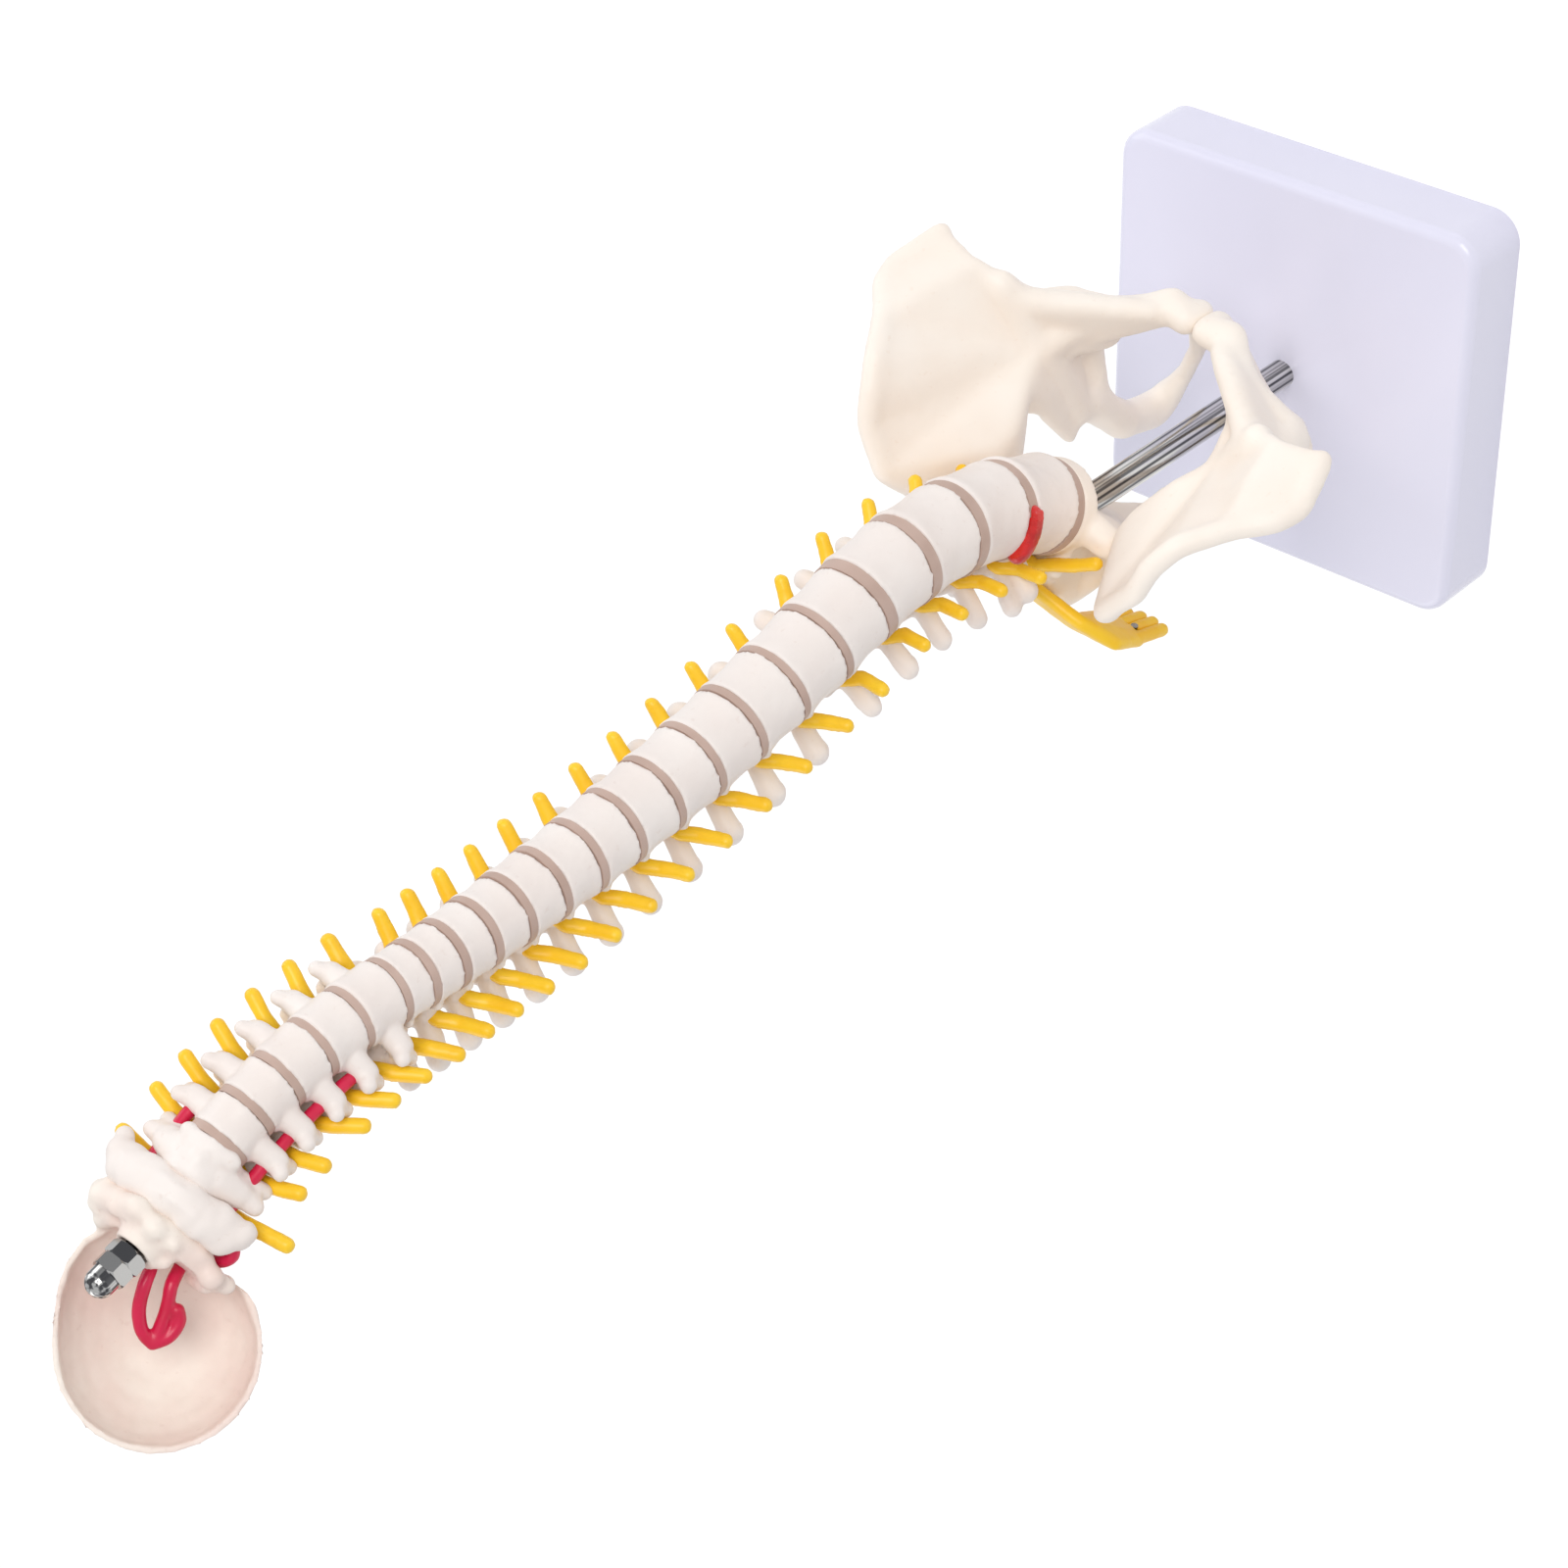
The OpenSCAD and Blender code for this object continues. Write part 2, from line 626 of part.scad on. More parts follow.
module atlas_c1() {
    cy = canal_y(22);
    color(bone_color) difference() {
        at_curve(atlas_s0) difference() {
            union() {
                for (side = [-1, 1]) {
                    limb([side * 8.6, 2.6, 2.4], [side * 8.2, 3, 8], 3.4, 3);
                    limb([side * 9.6, 2.4, 2.7], [side * 16.8, 1.2, 1.6], 2.7, 2.2);
                }
                translate([0, 4.5, 2]) difference() {
                    cylinder(r = 12.5, h = 4.2);
                    translate([0, 0, -1]) cylinder(r = 9, h = 7);
                }
            }
            translate([0, 0, -far / 2]) cylinder(r = 5.2, h = far);
            translate([0, cy, -far / 2]) cylinder(r = canal_r + 1.2, h = far);
            for (side = [-1, 1]) translate([side * artery_x, artery_y, -far / 2]) cylinder(d = artery_d + 0.9, h = far);
        }
        below(atlas_s0, 0);
        above(plate_s0, -0.4);
    }
}

// The bowl of the skull: its mouth faces the front right, and its rim bulges to one side
bowl_back = 27;
bowl_up = 9.7;
bowl_x = -5.9;
bowl_turn = -42.7;
bowl_tip = 65.6;
bowl_r = 23;
bowl_bulge = 6.5;
bowl_depth = 17;
bowl_wall = 2.2;
foramen_r = 5.8;

function rim(a) = bowl_r + bowl_bulge * pow(max(0, cos(a + 8)), 5);

// Solid of the bowl's outside, or of its hollow when the walls are taken off
module bowl_solid(wall, mouth) {
    m = 28;
    k = 6;
    skin(concat([for (i = [0:k]) let (phi = 82 * (1 - i / k)) [for (j = [m:-1:1]) let (a = 360 * j / m)
            [(rim(a) - wall) * cos(phi) * cos(a), (rim(a) - wall) * cos(phi) * sin(a), -(bowl_depth - wall) * sin(phi)]]],
         [[for (j = [m:-1:1]) let (a = 360 * j / m) [(rim(a) - wall) * cos(a), (rim(a) - wall) * sin(a), mouth]]]));
}

module at_bowl() {
    p = curve_p(plate_s0);
    translate([bowl_x, p[0] + bowl_back, p[1] + bowl_up]) rotate([0, 0, bowl_turn]) rotate([bowl_tip, 0, 0]) children();
}

module occipital_plate() {
    color(pelvis_color) difference() {
        union() {
            at_curve(plate_s0) {
                cylinder(r1 = 7.5, r2 = 5.4, h = clivus_t + 1.5);
                linear_extrude(plate_t) {
                    polygon([[-7, -5], [5, -6], [10, -1], [15, 2], [15, 10], [12, 21], [-8, 26],
                             [-14, 20], [-18, 12], [-19, 6], [-12, 1]]);
                }
                for (side = [-1, 1]) translate([side * 8, 3.4, 1]) sphere(r = 3);
            }
            at_bowl() difference() {
                bowl_solid(0, 0.01);
                bowl_solid(bowl_wall, 6);
            }
        }
        at_curve(nut_s0) cylinder(r = 12, h = 12);
        at_curve(plate_s0 + clivus_t / 2) cylinder(d = core_d + core_play + 0.4, h = 30, center = true);
        at_curve(plate_s0) translate([0, canal_y(22) + 2, -20]) cylinder(r = foramen_r, h = 28);
        below(plate_s0, -0.4);
    }
}

module lumbosacral_disc() {
    color(disc_color) disc(0);
}

module prolapsed_disc() {
    color(disc_color) disc(1);
}

module disc_prolapse() {
    r = body_r(1);
    color(artery_color) at_curve(disc_s(1)) difference() {
        rotate([0, 0, 163]) rotate_extrude(angle = 62) translate([r - 0.35, -disc_lumbar / 2]) square([1.8, disc_lumbar]);
    }
}

module lumbar_discs() {
    color(disc_color) for (n = [2:4]) disc(n);
}

module thoracic_discs() {
    color(disc_color) for (n = [5:16]) disc(n);
}

module neck_discs() {
    color(disc_color) for (n = [17:22]) disc(n);
}

// One nerve: root, elbow beside the canal, drooping end
module nerve(n, side) {
    cy = canal_y(max(n, 1));
    if (n == 0 && side < 0) soft_bar([[-1.5, cy + 1.2, 0.3], [-8.6, cy, -1.4], [-13, 8.6, -2.8],
        [-17.2, 4.6, -3.3], [-22.3, -1.2, -3.4]], nerve_d / 2);
    else droop_nerve(n, side, cy);
}

module droop_nerve(n, side, cy) {
    neck = n > 16;
    droop = n == 23 ? 0.3 : n > 20 && side < 0 ? 0.5 : side > 0 ? 0.42 : 1;
    soft_bar([[side * 1.5, cy + (neck ? 0.6 : 1.2), neck ? -0.2 : 0.3],
              neck ? [side * 8.5, cy - 0.4, -0.4] : [side * 8.6, cy - 0.2, n == 0 ? -1 : -2.2],
              neck ? [side * 14.2, 7.8, -3.4 * droop] : [side * 12.4, 10.6, n == 0 ? -1.4 : -6],
              neck ? [side * (n == 23 && side < 0 ? 25 : 20), 6, -8 * droop] : n == 0 ? [side * 16.5, 10, -2.4]
              : [side * 19, 7, n < 6 ? -10 - 3 * side : -10]], nerve_d / 2);
}

module cord_and_nerves() {
    color(nerve_color) {
        curve_bar(-6.8, disc_s(5) + 0.7, cord_d, 0, canal_y(1));
        curve_bar(disc_s(5) - 0.7, disc_s(17) + 0.7, cord_d, 0, canal_y(6));
        curve_bar(disc_s(17) - 0.7, atlas_s0 + 6, cord_d, 0, canal_y(18));
        for (n = [0:22]) at_curve(disc_s(n) + 1) for (side = [-1, 1]) nerve(n, side);
        at_curve(atlas_s0 + 0.9) for (side = [-1, 1]) nerve(23, side);
    }
}

module at_seat() {
    at_pelvis() translate(seat_p) rotate([-seat_fall, 0, 0]) children();
}

// Soft sheet: a strip on the sacrum, a palm that hangs behind it and four fingers
hand_r = 1.25;
hand_screw = [-25, 0, -19];

module sheet(points) {
    hull() for (p = points) knot(p, hand_r);
}

module cauda_equina() {
    color(nerve_color) difference() {
        at_pelvis() {
            sheet([[3, 19, 5.4], [3, 27, -0.8], [-15, 31, -3], [-20, 27, 0]]);
            sheet([[-15, 31, -3], [-20, 27, 0], [-28, 32, -6], [-17, 36, -17], [-28, 37, -17]]);
            for (i = [0:3]) sheet([[-17.6 - 3.4 * i, 36.2, -16], [-18 - 3.4 * i, 39.5, -26 - 2.2 * i + i * i * 0.5]]);
        }
        at_seat() translate([-11, -far / 2, -far]) cube(far);
        at_pelvis() translate(hand_screw + [0, 38.4, 0]) rotate([-90, 0, 0]) cylinder(r = 2.1, h = 10);
        at_pelvis() translate(hand_screw + [0, 20, 0]) rotate([-90, 0, 0]) cylinder(d = 2, h = 30);
    }
}

module cauda_screw() {
    color(steel_color) at_pelvis() translate(hand_screw + [0, 38.4, 0]) rotate([-90, 0, 0]) {
        cylinder(r = 1.9, h = 1);
        translate([0, 0, -3.4]) cylinder(d = 2, h = 4);
    }
}

module vertebral_arteries() {
    color(artery_color) for (side = [-1, 1])
        curve_bar(disc_s(18) + 4, plate_s0 - 0.4, artery_d, side * artery_x, artery_y, m = 10, step = 6);
}

base_plate();
base_washer();
base_bolt();
support_rod();
core_rod();
lock_nut();
cap_nut();
sacrum();
hip_bone_left();
hip_bone_right();
color(bone_color) vertebra(1);  // l5
color(bone_color) vertebra(2);  // l4
color(bone_color) vertebra(3);  // l3
color(bone_color) vertebra(4);  // l2
color(bone_color) vertebra(5);  // l1
color(bone_color) vertebra(6);  // t12
color(bone_color) vertebra(7);  // t11
color(bone_color) vertebra(8);  // t10
color(bone_color) vertebra(9);  // t9
color(bone_color) vertebra(10);  // t8
color(bone_color) vertebra(11);  // t7
color(bone_color) vertebra(12);  // t6
color(bone_color) vertebra(13);  // t5
color(bone_color) vertebra(14);  // t4
color(bone_color) vertebra(15);  // t3
color(bone_color) vertebra(16);  // t2
color(bone_color) vertebra(17);  // t1
color(bone_color) vertebra(18);  // c7
color(bone_color) vertebra(19);  // c6
color(bone_color) vertebra(20);  // c5
color(bone_color) vertebra(21);  // c4
color(bone_color) vertebra(22);  // c3
axis_c2();
atlas_c1();
occipital_plate();
lumbosacral_disc();
prolapsed_disc();
disc_prolapse();
lumbar_discs();
thoracic_discs();
neck_discs();
cord_and_nerves();
cauda_equina();
cauda_screw();
vertebral_arteries();
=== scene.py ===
import math

import bmesh
import bpy
from mathutils import Matrix, Vector


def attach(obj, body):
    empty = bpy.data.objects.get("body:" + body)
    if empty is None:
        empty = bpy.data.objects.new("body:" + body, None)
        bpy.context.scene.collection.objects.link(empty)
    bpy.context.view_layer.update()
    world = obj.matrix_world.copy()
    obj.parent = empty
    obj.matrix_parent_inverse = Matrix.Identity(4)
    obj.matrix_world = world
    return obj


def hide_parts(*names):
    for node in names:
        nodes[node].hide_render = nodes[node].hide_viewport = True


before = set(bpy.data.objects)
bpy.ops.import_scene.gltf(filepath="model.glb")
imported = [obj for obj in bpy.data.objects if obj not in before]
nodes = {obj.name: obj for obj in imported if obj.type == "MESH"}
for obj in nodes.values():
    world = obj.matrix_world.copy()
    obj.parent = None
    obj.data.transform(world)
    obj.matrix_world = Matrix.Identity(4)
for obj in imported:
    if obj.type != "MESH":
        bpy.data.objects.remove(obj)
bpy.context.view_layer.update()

mm = 0.001

# The view: the model was photographed from its right front and from above, with the
# camera rolled, so that the stand lies across the picture. The floor and the
# backdrop are plain white paper, lit by wide soft lamps.
eye = Vector((-0.497737, -0.503587, 0.777674))
across = Vector((-0.750427, 0.023279, -0.660544))
upwards = Vector((0.369745, -0.813590, -0.448731))
backwards = across.cross(upwards)
lens_data = bpy.data.cameras.new("camera")
lens_data.sensor_width = 36
lens_data.lens = 84.623
lens_data.clip_start = 0.02
camera = bpy.data.objects.new("camera", lens_data)
turned = Matrix((across, upwards, backwards)).transposed()
camera.matrix_world = Matrix.Translation(eye) @ turned.to_4x4()
bpy.context.scene.collection.objects.link(camera)
bpy.context.scene.camera = camera
bpy.context.scene.view_settings.view_transform = "Standard"


class Value:
    """A number that varies over a surface; sums and products on it add Math nodes."""

    def __init__(self, paint, socket):
        self.paint, self.socket = paint, socket

    def math(self, operation, *terms):
        return self.paint.add("ShaderNodeMath", {"operation": operation}, dict(enumerate(terms)))

    def __add__(self, other):
        return self.math("ADD", self, other)

    def __mul__(self, other):
        return self.math("MULTIPLY", self, other)

    __radd__ = __add__
    __rmul__ = __mul__


class Paint:
    """A material with one Principled shader, built node by node."""

    def __init__(self, name, **shader):
        self.material = bpy.data.materials.new(name)
        self.material.use_nodes = True
        self.tree = self.material.node_tree
        self.shader = self.tree.nodes["Principled BSDF"]
        self.output = self.tree.nodes["Material Output"]
        for socket, value in shader.items():
            self.shader.inputs[socket.replace("_", " ")].default_value = value

    def add(self, kind, settings=None, sockets=None, out=0):
        made = self.tree.nodes.new(kind)
        for key, value in (settings or {}).items():
            setattr(made, key, value)
        for key, value in (sockets or {}).items():
            if isinstance(value, Value):
                self.tree.links.new(value.socket, made.inputs[key])
            else:
                made.inputs[key].default_value = value
        return Value(self, made.outputs[out])

    def place(self):
        return self.add("ShaderNodeTexCoord", out=3)

    def noise(self, scale, detail=3.0, rough=0.5, where=None):
        sockets = {"Vector": where or self.place(), "Scale": scale, "Detail": detail, "Roughness": rough}
        return self.add("ShaderNodeTexNoise", {}, sockets)

    def between(self, low, high, value):
        sockets = {"Value": value, "From Min": low, "From Max": high}
        return self.add("ShaderNodeMapRange", {"clamp": True}, sockets)

    def tint(self, factor, first, second):
        return self.add("ShaderNodeMix", {"data_type": "RGBA"}, {0: factor, 6: first, 7: second}, out=2)

    def feed(self, **sockets):
        for socket, value in sockets.items():
            self.tree.links.new(value.socket, self.shader.inputs[socket.replace("_", " ")])
        return self.material

    def relief(self, height, depth, strength):
        return self.add("ShaderNodeBump", {}, {"Height": height, "Distance": depth, "Strength": strength})


def screen(name, corners, paint):
    sheet = bmesh.new()
    sheet.faces.new([sheet.verts.new(corner) for corner in corners])
    mesh = bpy.data.meshes.new(name)
    sheet.to_mesh(mesh)
    sheet.free()
    mesh.materials.append(paint)
    made = bpy.data.objects.new(name, mesh)
    bpy.context.scene.collection.objects.link(made)


paper = Paint("white_paper", Roughness=0.9)
ray = paper.tree.nodes.new("ShaderNodeLightPath")
direct, mirrored, passed = (Value(paper, ray.outputs[kind])
                            for kind in ("Is Camera Ray", "Is Glossy Ray", "Is Transmission Ray"))
seen = direct.math("MAXIMUM", direct, mirrored.math("MAXIMUM", mirrored, passed))
glow = paper.add("ShaderNodeEmission", {}, {"Color": (1, 1, 1, 1), "Strength": 0.8})
shade = paper.add("ShaderNodeBsdfDiffuse", {}, {"Color": (0.3, 0.3, 0.3, 1)})
lit = paper.add("ShaderNodeAddShader", {}, {0: glow, 1: shade})
plain = paper.add("ShaderNodeBsdfDiffuse", {}, {"Color": (0.75, 0.75, 0.76, 1)})
sum_up = paper.add("ShaderNodeMixShader", {}, {0: seen, 1: plain, 2: lit})
paper.tree.links.new(sum_up.socket, paper.output.inputs["Surface"])
screen("floor", [(-6, -6, 0), (6, -6, 0), (6, 6, 0), (-6, 6, 0)], paper.material)

sky = bpy.data.worlds.new("studio")
sky.use_nodes = True
bpy.context.scene.world = sky
tree = sky.node_tree
back = tree.nodes["Background"]
back.inputs["Color"].default_value = (0.95, 0.97, 1.0, 1)
back.inputs["Strength"].default_value = 0.62
white = tree.nodes.new("ShaderNodeBackground")
white.inputs["Strength"].default_value = 1.0
path = tree.nodes.new("ShaderNodeLightPath")
either = tree.nodes.new("ShaderNodeMixShader")
tree.links.new(path.outputs["Is Camera Ray"], either.inputs[0])
tree.links.new(back.outputs[0], either.inputs[1])
tree.links.new(white.outputs[0], either.inputs[2])
tree.links.new(either.outputs[0], tree.nodes["World Output"].inputs["Surface"])


def softbox(name, place, target, size, power, tint=(1, 1, 1)):
    lamp = bpy.data.lights.new(name, "AREA")
    lamp.size, lamp.energy, lamp.color = size, power, tint
    holder = bpy.data.objects.new(name, lamp)
    aim = (Vector(target) - Vector(place)).to_track_quat("-Z", "Y")
    holder.matrix_world = Matrix.Translation(place) @ aim.to_matrix().to_4x4()
    bpy.context.scene.collection.objects.link(holder)


softbox("key_lamp", (-0.7, -1.3, 1.5), (0, 0, 0.25), 1.0, 17, (1, 0.985, 0.96))
softbox("fill_lamp", (1.3, -0.7, 0.8), (0, 0, 0.25), 1.2, 6, (0.96, 0.98, 1))
softbox("rear_lamp", (0.2, 1.4, 1.1), (0, 0, 0.25), 1.2, 6)

# The spine's line: the core rod of the real model is bent by hand, so that the
# vertebrae follow four arcs one after another. The same lengths and leans as in
# the construction are used, to set the cast details on each bone.
foot_y, foot_z, foot_lean = -8.5, 130.0, -27
arcs = [(76.5, foot_lean, 17), (162, 17, -1), (69.5, -1, 31.7), (11, 31.7, 16)]
spine_turn = -26
pelvis_turn = -11


def line(s):
    """Point and lean of the core rod's middle at length s, in millimetres and degrees."""
    y, z = foot_y, foot_z
    if s < 0:
        lean = math.radians(foot_lean)
        return y + s * math.sin(lean), z + s * math.cos(lean), foot_lean
    for length, first, last in arcs:
        part = min(s, length)
        radius = length / math.radians(last - first)
        lean = first + math.degrees(part / radius)
        y += radius * (math.cos(math.radians(first)) - math.cos(math.radians(lean)))
        z += radius * (math.sin(math.radians(lean)) - math.sin(math.radians(first)))
        s -= part
        if s <= 0:
            break
    return y + s * math.sin(math.radians(lean)), z + s * math.cos(math.radians(lean)), lean


def on_line(s):
    """Frame on the core rod at length s, turned as the bones are."""
    y, z, lean = line(s)
    return (Matrix.Translation((0, y * mm, z * mm)) @ Matrix.Rotation(math.radians(-lean), 4, "X")
            @ Matrix.Rotation(math.radians(spine_turn), 4, "Z"))


def mix(a, b, t):
    return a + (b - a) * t


def pitch(n):
    if n < 6:
        return mix(20.2, 16.4, (n - 1) / 4)
    if n < 18:
        return mix(16.1, 8.45, (n - 6) / 11)
    return mix(11.6, 9.2, (n - 18) / 4)


def disc_at(n):
    return sum(pitch(k) for k in range(1, n + 1))


def disc_height(n):
    return 3.2 if n < 5 else 2.0 if n < 17 else 1.9


def body_radius(n):
    if n < 6:
        return mix(13.2, 12.2, (n - 1) / 4)
    if n < 18:
        return mix(12.2, 8.7, (n - 5) / 12)
    return mix(8.7, 7.6, (n - 17) / 5)


def join(form, bit):
    """Add the small form bit to form; the operators are slow on a form that has grown large."""
    scrap = bpy.data.meshes.new("scrap")
    bit.to_mesh(scrap)
    bit.free()
    form.from_mesh(scrap)
    bpy.data.meshes.remove(scrap)


def lump(form, place, start, end, first, last):
    """Rounded finger from start to end in millimetres, in the frame of place, added to form."""
    start, end = Vector(start) * mm, Vector(end) * mm
    run = end - start
    near = place @ Matrix.Translation(start) @ run.to_track_quat("Z", "Y").to_matrix().to_4x4()
    half, far = (near @ Matrix.Translation((0, 0, run.length * share)) for share in (0.5, 1))
    bit = bmesh.new()
    for radius, turn in ((first, near), (last, far)):
        bmesh.ops.create_uvsphere(bit, u_segments=12, v_segments=8, radius=radius * mm, matrix=turn)
    bmesh.ops.create_cone(bit, cap_ends=True, segments=12, radius1=first * mm, radius2=last * mm,
                          depth=run.length, matrix=half)
    join(form, bit)


def drop(form, place, middle, radius, flat=(1, 1, 1)):
    """Rounded boss in millimetres, in the frame of place, added to form."""
    shape = place @ Matrix.Translation(Vector(middle) * mm) @ Matrix.Diagonal((*flat, 1))
    bit = bmesh.new()
    bmesh.ops.create_uvsphere(bit, u_segments=14, v_segments=10, radius=radius * mm, matrix=shape)
    join(form, bit)


def casting(name, stands_for, details, grain, rounds, waves, paint, swell=0.0, copied=True):
    """Soft casting over the construction's solids and its cast details, in one skin.

    grain is the size of the skin's cells, rounds its smoothing, waves its uneven surface
    and swell what it gains all round; copied is off where the details are the whole form.
    """
    form = bmesh.new()
    for node in stands_for if copied else ():
        form.from_mesh(nodes[node].data)
    bmesh.ops.remove_doubles(form, verts=form.verts, dist=0.00002)
    if details:
        details(form)
    mesh = bpy.data.meshes.new(name)
    form.to_mesh(mesh)
    form.free()
    mesh.materials.clear()
    mesh.materials.append(paint)
    piece = bpy.data.objects.new(name, mesh)
    bpy.context.scene.collection.objects.link(piece)
    shell = piece.modifiers.new("shell", "REMESH")
    shell.mode, shell.voxel_size = "VOXEL", grain * mm
    soft = piece.modifiers.new("soft", "SMOOTH")
    soft.factor, soft.iterations = 0.5, rounds
    if swell:
        thicker = piece.modifiers.new("thicker", "DISPLACE")
        thicker.strength, thicker.mid_level = swell * mm, 0.0
    for size, depth in waves:
        field = bpy.data.textures.new(name + "_waves", "CLOUDS")
        field.noise_scale, field.noise_depth = size * mm, 1
        wave = piece.modifiers.new("waves", "DISPLACE")
        wave.texture, wave.texture_coords = field, "LOCAL"
        wave.strength, wave.mid_level = depth * mm, 0.5
    solved = piece.evaluated_get(bpy.context.evaluated_depsgraph_get())
    final = bpy.data.meshes.new_from_object(solved)
    final.name = name
    piece.modifiers.clear()
    piece.data = final
    for face in final.polygons:
        face.use_smooth = True
    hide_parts(*stands_for)
    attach(piece, "root")
    return piece


# Lumbar vertebrae: soft castings in off-white plastic, threaded on the core rod.
# Each has a waisted body with a raised rim, short flat side wings, joint
# processes and a blunt spinous process behind.
# Bone plastic: random cloudy tone and small dark specks of the plastic itself, plus painted shade that darkens
# the hollows.
def bone_paint(name, light, warm, speck_and_shade_colour, gloss):
    paint = Paint(name, IOR=1.46, Coat_IOR=1.45, Specular_IOR_Level=0.45)
    clouds = paint.between(0.35, 0.68, paint.noise(42, 2.0))
    specks = paint.between(0.66, 0.74, paint.noise(520, 2.0))
    # Painted shade: concave spots, found by their low pointiness, are darkened towards the dark speck colour as
    # if shade fell in them.
    painted_hollow_shade = paint.between(0.5, 0.42, paint.add("ShaderNodeNewGeometry", out=7))
    skin = paint.tint(clouds, light, warm)
    skin = paint.tint(specks * 0.16, skin, speck_and_shade_colour)
    skin = paint.tint(painted_hollow_shade * 0.55, skin, speck_and_shade_colour)
    rough = gloss + paint.noise(160, 2.0) * 0.16
    height = paint.noise(700, 3.0) * 0.35 + paint.noise(150, 2.0)
    return paint.feed(Base_Color=skin, Roughness=rough, Normal=paint.relief(height, 0.00012, 0.6))


bone = bone_paint("bone_plastic", (0.89, 0.82, 0.775, 1), (0.85, 0.76, 0.71, 1),
                  (0.66, 0.50, 0.42, 1), 0.36)
lumbar = ["l5", "l4", "l3", "l2", "l1"]
for n, name in enumerate(lumbar, 1):
    def wings(form, n=n):
        place = on_line((disc_at(n - 1) + disc_at(n)) / 2)
        h = pitch(n) - disc_height(n)
        r = body_radius(n)
        for side in (-1, 1):
            lump(form, place, (side * 5.5, 7.5, h * 0.16), (side * 7, 13, h * 0.14), 3.4, 3.2)
            lump(form, place, (side * 5, 13.6, h * 0.1), (side * 15.5, 18.2, h * 0.18), 2.6, 2.4)
            drop(form, place, (side * 16.6, 18.6, h * 0.12), 2.5, (1.1, 0.8, 1.25))
            lump(form, place, (side * 6.2, 16.8, h * 0.32), (side * 6.8, 17.4, h * 0.5), 2.3, 1.6)
            lump(form, place, (side * 4.6, 17.6, -h * 0.2), (side * 4.8, 20.4, -h * 0.42), 2.3, 1.7)
            if n == 1:
                lump(form, place, (side * 6, 12.5, -1), (side * 16, 15, -1.5), 4.2, 3.4)
        lump(form, place, (0, 19, h * 0.06), (0, 27, -h * 0.02), 2.2, 2.6)

    casting("vertebra_" + name, [name], wings, 0.72, 4, [(9, 0.5), (3, 0.16)], bone)

# Chest vertebrae: the same castings, smaller, with side processes that lean back and
# end in round knobs, and spinous processes that slope downwards over one another.
chest = ["t12", "t11", "t10", "t9", "t8", "t7", "t6", "t5", "t4", "t3", "t2", "t1"]
for n, name in enumerate(chest, 6):
    def knobs(form, n=n):
        place = on_line((disc_at(n - 1) + disc_at(n)) / 2)
        h = pitch(n) - disc_height(n)
        k = (n - 6) / 11
        for side in (-1, 1):
            thick = mix(2.8, 2.2, k)
            lump(form, place, (side * 4.6, 7, h * 0.2), (side * 5.6, 12, h * 0.18), thick, thick)
            tip = (side * mix(15.2, 13.8, k), 19.4, h * 0.2 + 1.4)
            drop(form, place, tip, mix(3.3, 2.8, k), (1.05, 0.9, 1.1))
            lump(form, place, (side * 4.6, 14, h * 0.1), (side * 10, 17, h * 0.2), 2.4, 2.3)
            drop(form, place, (side * body_radius(n) * 0.86, 4.4, h * 0.36), 1.5)

    casting("vertebra_" + name, [name], knobs, 0.68, 4, [(8, 0.42), (2.6, 0.14)], bone)

# Neck vertebrae: low castings with raised side lips, double-tipped side processes
# with a hole for the artery, and short spinous processes.
neck = ["c7", "c6", "c5", "c4", "c3"]
for n, name in enumerate(neck, 18):
    def lips(form, n=n):
        place = on_line((disc_at(n - 1) + disc_at(n)) / 2)
        h = pitch(n) - disc_height(n)
        r = body_radius(n)
        for side in (-1, 1):
            drop(form, place, (side * r * 0.84, 1.5, h * 0.38), 1.5, (0.8, 1.5, 0.9))
            lump(form, place, (side * 4.6, 6.4, 0.2), (side * 5, 10.4, 0.2), 2.1, 2)
            lump(form, place, (side * 7.6, 10.8, -h * 0.34), (side * 7.8, 10.4, h * 0.36), 2.4, 2.3)
            lump(form, place, (side * r * 0.7, 0.6, -h * 0.02), (side * 11.6, 3, -h * 0.08), 3.2, 2.9)
            lump(form, place, (side * 11, 2.8, -h * 0.1), (side * 14.3, 2.2, h * 0.14), 2.5, 1.9)
            lump(form, place, (side * 11, 4.6, -h * 0.1), (side * 13.8, 6.4, -h * 0.26), 2.5, 1.9)
            drop(form, place, (side * 12, 9, -h * 0.1), 1.9, (1, 0.9, 1.2))

    casting("vertebra_" + name, [name], lips, 0.56, 6, [(7, 0.4), (2.4, 0.14)], bone, 0.1)

# Second and first neck vertebrae: the axis with its tooth, and the ring-shaped atlas
# that carries the skull on two side masses. Both are cast with blurred details.
axis_at = disc_at(22) + 0.95
atlas_at = axis_at + 9.6
plate_at = atlas_at + 9.4 + 0.6


def axis_details(form):
    place = on_line(axis_at)
    for side in (-1, 1):
        lump(form, place, (side * 4.4, -1, 5.4), (side * 9.4, 2.4, 4.8), 4.2, 3.6)
        lump(form, place, (side * 8.6, 2.8, 4.2), (side * 14.2, 4.4, 4.6), 3.4, 2.1)
        lump(form, place, (side * 8.6, 3.6, 2.6), (side * 13.4, 6.4, 0.6), 2.9, 1.9)
        lump(form, place, (side * 5, 7, 4), (side * 6, 10.4, 3.6), 2.2, 2.2)
        drop(form, place, (side * 4.6, -3.6, 1.2), 3.4, (1, 0.8, 0.6))
    lump(form, place, (0, 14, 4.4), (0, 20, 3.2), 2.2, 2.4)
    drop(form, place, (0, -5.8, 4.8), 2.8, (0.9, 0.7, 1.6))


